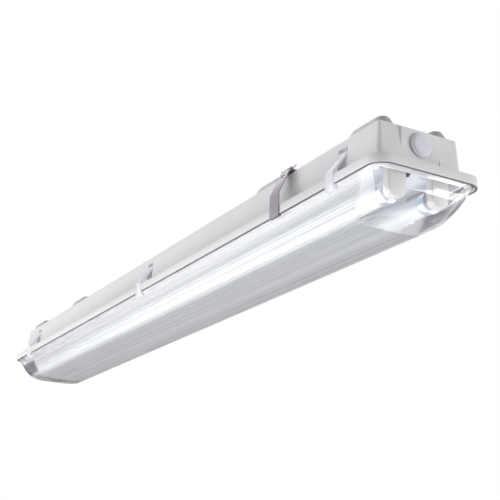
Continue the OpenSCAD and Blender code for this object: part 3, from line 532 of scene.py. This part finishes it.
def softened(node, width):
    """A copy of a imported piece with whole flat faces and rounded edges."""
    piece = bpy.data.objects.new(node + "_copy", NODES[node].data.copy())
    bpy.context.scene.collection.objects.link(piece)
    choose(piece)
    bpy.ops.mesh.customdata_custom_splitnormals_clear()
    bpy.ops.object.mode_set(mode="EDIT")
    bpy.ops.mesh.select_all(action="SELECT")
    bpy.ops.mesh.remove_doubles(threshold=MERGE_DISTANCE)
    bpy.ops.mesh.dissolve_limited(angle_limit=math.radians(FLAT_ANGLE))
    bpy.ops.object.mode_set(mode="OBJECT")
    edges = piece.modifiers.new("Edges", "BEVEL")
    edges.width = width
    edges.segments = ROUNDING_STEPS
    edges.limit_method = "ANGLE"
    edges.angle_limit = math.radians(SHARP_ANGLE)
    bpy.ops.object.modifier_apply(modifier=edges.name)
    return piece


def dress(node, width, name, body, finish):
    """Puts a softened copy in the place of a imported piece."""
    return settle(softened(node, width), name, body, finish, node)


def carry_over(finish, *nodes):
    """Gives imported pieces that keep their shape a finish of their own."""
    for node in nodes:
        for slot in NODES[node].material_slots:
            slot.material = finish


def rounded_ring(half_width, half_length, radius, height, steps):
    """In edit mode, adds one closed loop with rounded corners."""
    bpy.ops.mesh.select_all(action="DESELECT")
    bpy.ops.mesh.primitive_plane_add(size=2, location=(0, 0, height))
    bpy.ops.transform.resize(
        value=(half_length, half_width, 1), center_override=(0, 0, height)
    )
    offset = min(radius, half_width * WIDEST_CORNER)
    bpy.ops.mesh.bevel(offset=offset, segments=steps, affect="VERTICES")
    bpy.ops.mesh.delete(type="ONLY_FACE")


def skin_rings(sizes):
    """The diffuser's rings from the middle of its floor, up the outside and down the inside.

    Each has its half width, half length, corner radius, height over the lip and groove share.
    """
    # The section, as half width and height: a straight wall from the bevel's foot, a round edge
    # and a crowned floor. Runs along it start at the foot.
    radius = sizes.edge_radius
    foot = Vector((sizes.rim_half_width - sizes.bevel_run, sizes.bevel_height - sizes.bevel_rise))
    edge = Vector((sizes.floor_half, sizes.crown + radius - sizes.depth))
    to_edge = edge - foot
    turn = math.atan2(to_edge.y, to_edge.x) + math.asin(radius / to_edge.length)
    start = turn + math.pi / 2
    wall_end = edge + radius * Vector((math.cos(start), math.sin(start)))
    wall_run = (wall_end - foot).length
    turned = math.pi / 2 + start
    edge_run = radius * turned
    run = wall_run + edge_run + sizes.floor_half

    def skin(way):
        """Point and outward direction that far along the run."""
        angle = start - turned * max(0, min(1, (way - wall_run) / edge_run))
        out = Vector((math.cos(angle), math.sin(angle)))
        if way < wall_run:
            return foot + (wall_end - foot) * (way / wall_run), out
        if way < wall_run + edge_run:
            return edge + radius * out, out
        half_width = run - way
        rise = sizes.crown * (half_width / sizes.floor_half) ** 2
        return Vector((half_width, rise - sizes.depth)), out

    def deep(height):
        """0 at the wall's foot, 1 at the floor."""
        return max(0, min(1, (foot.y - height) / (foot.y + sizes.depth)))

    def half_length(height):
        swept = sizes.sweep * (1 - (1 - deep(height) ** RIM_POWER) ** (1 / FLOOR_POWER))
        return sizes.rim_half_length - sizes.bevel_run - swept

    def corner(height):
        return sizes.rim_radius + (sizes.floor_radius - sizes.rim_radius) * deep(height)

    # The floor's innermost rings stay two steps off its middle, where their corners would meet.
    count = round(run / sizes.rib_pitch)
    share_count = len(GROOVE_SHARES)
    rings = []
    for i in range(share_count * count - 2, -1, -1):
        point, _ = skin(run * i / count / share_count)
        outline = (point.x, half_length(point.y), corner(point.y))
        rings.append((*outline, point.y, GROOVE_SHARES[i % share_count]))
    rim = (sizes.rim_half_width, sizes.rim_half_length, sizes.rim_radius)
    for height in (sizes.bevel_height, sizes.rim_height):
        rings.append((*rim, height, 0))
    inside = [size - sizes.wall for size in rim]
    for height in (sizes.rim_height - RIM_FALL, sizes.bevel_height):
        rings.append((*inside, height, 0))
    steps = 2 * count
    for i in range(steps - 1):
        point, out = skin(run * i / steps)
        inner = point - sizes.wall * out
        outline = (inner.x, half_length(point.y) - sizes.wall, corner(point.y) - sizes.wall / 2)
        rings.append((*outline, inner.y, 0))
    return rings


class LIGHT_OT_stage(bpy.types.Operator):
    """Sets the floor, the lamps and the camera"""

    bl_idname = "light.stage"
    bl_label = "Stage"

    def execute(self, context):
        scene = context.scene
        clear_selection()
        bpy.ops.mesh.primitive_plane_add(size=FLOOR_SIZE, location=(0, 0, FLOOR_HEIGHT))
        floor = context.object
        floor.name = "floor"
        floor.data.materials.append(pale_paint("pale_floor", scene.light_colours.floor))
        scene.world = self.studio()
        for lamp in LAMPS:
            self.hang(*lamp)
        bpy.ops.object.camera_add()
        camera = context.object
        camera.name = "camera"
        camera.data.sensor_width = SENSOR
        camera.data.lens = LENS
        camera.data.clip_start = NEAREST
        turn = Matrix((CAMERA_RIGHT, CAMERA_UP, CAMERA_BACK)).transposed().to_4x4()
        camera.matrix_world = Matrix.Translation(CAMERA_PLACE) @ turn
        scene.camera = camera
        scene.view_settings.view_transform = "Standard"
        return {"FINISHED"}

    @staticmethod
    def studio():
        """A soft world that looks white."""
        sky = Finish("studio", bpy.data.worlds.new("Studio"))
        soft, white = (
            sky.add("ShaderNodeBackground", {}, {"Color": (1, 1, 1, 1), "Strength": strength})
            for strength in (WORLD_LIGHT, 1.0)
        )
        sky.show(sky.add("ShaderNodeMixShader", {}, {0: sky.seen(), 1: soft, 2: white}))
        return sky.material

    @staticmethod
    def hang(name, place, aim, size, power):
        """One soft square lamp that points at a place."""
        bpy.ops.object.light_add(type="AREA", location=place)
        lamp = bpy.context.object
        lamp.name = "lamp_" + name
        lamp.data.size = size
        lamp.data.energy = power
        lamp.visible_camera = False
        lamp.rotation_euler = (Vector(aim) - Vector(place)).to_track_quat("-Z", "Y").to_euler()


class LIGHT_OT_housing(bpy.types.Operator):
    """Dresses the moulded housing, its seal and the plug in its end wall"""

    bl_idname = "light.housing"
    bl_label = "Housing"

    def execute(self, context):
        colours = context.scene.light_colours
        edges = context.scene.edge_sizes
        # The housing's finish paints shade under its lip and on its feet.
        grey = moulded_with_painted_shade("moulded_grey", colours.housing, colours.edge)
        dress("housing", edges.housing, "moulded_housing", "fixture", grey)
        plug = moulded("moulded_plug", colours.plug)
        dress("entry_plug", edges.plug, "moulded_plug", "fixture", plug)
        carry_over(plug, "plug_nut")
        carry_over(moulded("grey_seal", colours.seal, rough=0.7), "gasket")
        carry_over(moulded("black_seal", colours.washer, rough=0.7), "plug_seal")
        carry_over(moulded("pin_plastic", colours.latch), "latch_pins")
        return {"FINISHED"}


class LIGHT_OT_diffuser(bpy.types.Operator):
    """Models the clear ribbed diffuser as one closed shell of rings"""

    bl_idname = "light.diffuser"
    bl_label = "Diffuser"

    def execute(self, context):
        sizes = context.scene.diffuser_sizes
        colours = context.scene.light_colours
        clear_selection()
        bpy.ops.mesh.primitive_plane_add(size=1)
        piece = context.object
        bpy.ops.object.mode_set(mode="EDIT")
        bpy.ops.mesh.delete(type="VERT")
        self.build_shell(piece, skin_rings(sizes), sizes.corner_steps)
        self.sink_grooves(piece, sizes)
        bpy.ops.mesh.select_all(action="SELECT")
        bpy.ops.mesh.normals_make_consistent(inside=False)
        bpy.ops.object.mode_set(mode="OBJECT")
        # The diffuser's finish paints shade along its ribs and where it is seen edgeways.
        plastic = clear_plastic("clear_plastic", sizes, colours.clear, colours.dusk)
        settle(
            piece, "ribbed_diffuser", "diffuser", plastic, "diffuser", angle=RIB_ANGLE
        )
        # Light passes clear plastic, and the renderer would stop it at the surfaces.
        piece.visible_shadow = False
        return {"FINISHED"}

    @staticmethod
    def build_shell(piece, rings, corner_steps):
        """Bridges the rings, closes both floors and marks the vertices of the grooves."""
        bpy.ops.mesh.select_mode(type="VERT")
        spans = []
        for half_width, half_length, radius, height, _ in rings:
            first = len(bmesh.from_edit_mesh(piece.data).verts)
            rounded_ring(half_width, half_length, radius, LIP + height, corner_steps)
            spans.append(range(first, len(bmesh.from_edit_mesh(piece.data).verts)))
        for lower, upper in zip(spans, spans[1:]):
            pick_open_edges(piece, set(lower) | set(upper))
            bpy.ops.mesh.bridge_edge_loops()
        for span in (spans[0], spans[-1]):
            pick_open_edges(piece, set(span))
            bpy.ops.mesh.edge_face_add()
        marks = {i: ring[-1] for span, ring in zip(spans, rings) for i in span}
        mesh = bmesh.from_edit_mesh(piece.data)
        layer = mesh.verts.layers.float.new("groove")
        for v in mesh.verts:
            v[layer] = marks[v.index]

    @staticmethod
    def sink_grooves(piece, sizes):
        """Cuts the skin where the ribs run out, and moves the grooves inwards up to there."""
        floor = LIP - sizes.depth
        for x in (sizes.rib_end, sizes.rib_end - sizes.rib_fade):
            for end in (-1, 1):
                bpy.ops.mesh.select_all(action="SELECT")
                bpy.ops.mesh.bisect(plane_co=(end * x, 0, floor), plane_no=(end, 0, -1))
        limit = sizes.rib_end - sizes.rib_fade / 2 - floor
        for share in sorted(set(GROOVE_SHARES) - {0}, reverse=True):
            layer = bmesh.from_edit_mesh(piece.data).verts.layers.float["groove"]

            def in_groove(v, layer=layer, share=share):
                return abs(v[layer] - share) < MARK_MARGIN and abs(v.co.x) - v.co.z < limit

            pick(piece, "verts", in_groove)
            bpy.ops.transform.shrink_fatten(value=-sizes.rib_depth * share)


class LIGHT_OT_latches(bpy.types.Operator):
    """Dresses the six milky latches"""

    bl_idname = "light.latches"
    bl_label = "Latches"

    def execute(self, context):
        milky = milky_plastic("milky_plastic", context.scene.light_colours.latch)
        width = context.scene.edge_sizes.latch
        for side in SIDES:
            for place in LATCH_PLACES:
                node = f"latch_{side}_{place}"
                piece = dress(node, width, f"moulded_{node}", node, milky)
                # Milky plastic lets light through, as the diffuser does.
                piece.visible_shadow = False
        return {"FINISHED"}


class LIGHT_OT_bracket(bpy.types.Operator):
    """Dresses the steel bracket, its spring arms and their hinge wires"""

    bl_idname = "light.bracket"
    bl_label = "Bracket"

    def execute(self, context):
        base = context.scene.light_colours.strip
        width = context.scene.edge_sizes.strip
        steel = metal("strip_steel", base, rough=0.42, streak=(0.15, 1, 1))
        dress("mounting_bracket", width, "steel_bracket", "fixture", steel)
        for side in SIDES:
            arm = f"arm_{side}"
            dress(f"bracket_{arm}", width, f"steel_{arm}", arm, steel)
        wire = metal("wire_steel", shade(base, WIRE_SHADE), rough=0.3)
        carry_over(wire, "bracket_hinge_wires")
        return {"FINISHED"}


class LIGHT_OT_gear(bpy.types.Operator):
    """Dresses the white tray and what is fixed to it"""

    bl_idname = "light.gear"
    bl_label = "Gear tray"

    def execute(self, context):
        colours = context.scene.light_colours
        carry_over(enamel("white_enamel", colours.tray), "gear_tray")
        carry_over(metal("dark_screw", colours.tray_screw, rough=0.35), "tray_screws")
        carry_over(enamel("ballast_case", colours.ballast), "ballast")
        carry_over(metal("zinc_screw", colours.ballast_screw, rough=0.3), "ballast_screws")
        carry_over(moulded("terminal_plastic", colours.terminals), "terminal_block")
        insulation = moulded("lead_insulation", colours.lead, rough=0.3)
        carry_over(insulation, "leads_front", "leads_rear")
        return {"FINISHED"}


class LIGHT_OT_lamps(bpy.types.Operator):
    """Dresses the lampholders, their rotors and the two tubes"""

    bl_idname = "light.lamps"
    bl_label = "Lamps"

    def execute(self, context):
        colours = context.scene.light_colours
        edges = context.scene.edge_sizes
        cream = moulded("cream_plastic", colours.holder)
        white = moulded("white_rotor", colours.rotor)
        opal = enamel("opal_glass", colours.tube, rough=0.2)
        cap = metal("cap_metal", colours.cap, rough=0.36)
        brass = metal("brass_pins", colours.pins, rough=0.3)
        for side in SIDES:
            for end in ENDS:
                node = f"lampholder_{side}_{end}"
                dress(node, edges.holder, f"cream_{node}", "fixture", cream)
                self.dress_round(f"rotor_{side}_{end}", side, edges.rotor, white, "rotor")
            self.dress_round(f"tube_{side}", side, edges.tube, opal, "tube_glass")
            self.dress_round(f"end_caps_{side}", side, edges.cap, cap, "cap")
            carry_over(brass, f"cap_pins_{side}")
        return {"FINISHED"}

    @staticmethod
    def dress_round(node, side, width, finish, slot):
        """Dresses a round piece that turns with its tube."""
        dress(node, width, f"smooth_{node}", f"lamp_{side}", finish)


STEPS = (
    LIGHT_OT_stage,
    LIGHT_OT_housing,
    LIGHT_OT_diffuser,
    LIGHT_OT_latches,
    LIGHT_OT_bracket,
    LIGHT_OT_gear,
    LIGHT_OT_lamps,
)
GROUPS = {
    "diffuser_sizes": DiffuserSizes,
    "edge_sizes": EdgeSizes,
    "light_colours": LightColours,
}


class LIGHT_PT_panel(bpy.types.Panel):
    """Lists the light's pieces, sizes and colours in the sidebar"""

    bl_label = "Ceiling Light"
    bl_idname = "LIGHT_PT_panel"
    bl_space_type = "VIEW_3D"
    bl_region_type = "UI"
    bl_category = "Ceiling Light"

    def draw(self, context):
        for step in STEPS:
            self.layout.operator(step.bl_idname)
        for key in GROUPS:
            group = getattr(context.scene, key)
            for name in group.bl_rna.properties.keys():
                if name not in ("rna_type", "name"):
                    self.layout.prop(group, name)


CLASSES = (*GROUPS.values(), *STEPS, LIGHT_PT_panel)


def register():
    """Makes the light's sizes, colours, operators and panel known."""
    for cls in CLASSES:
        bpy.utils.register_class(cls)
    for key, group in GROUPS.items():
        setattr(bpy.types.Scene, key, PointerProperty(type=group))


def unregister():
    """Takes them away again."""
    for key in GROUPS:
        delattr(bpy.types.Scene, key)
    for cls in reversed(CLASSES):
        bpy.utils.unregister_class(cls)


def main():
    """Dresses the whole light."""
    register()
    bpy.ops.light.stage()
    bpy.ops.light.housing()
    bpy.ops.light.diffuser()
    bpy.ops.light.latches()
    bpy.ops.light.bracket()
    bpy.ops.light.gear()
    bpy.ops.light.lamps()


if __name__ == "__main__":
    main()
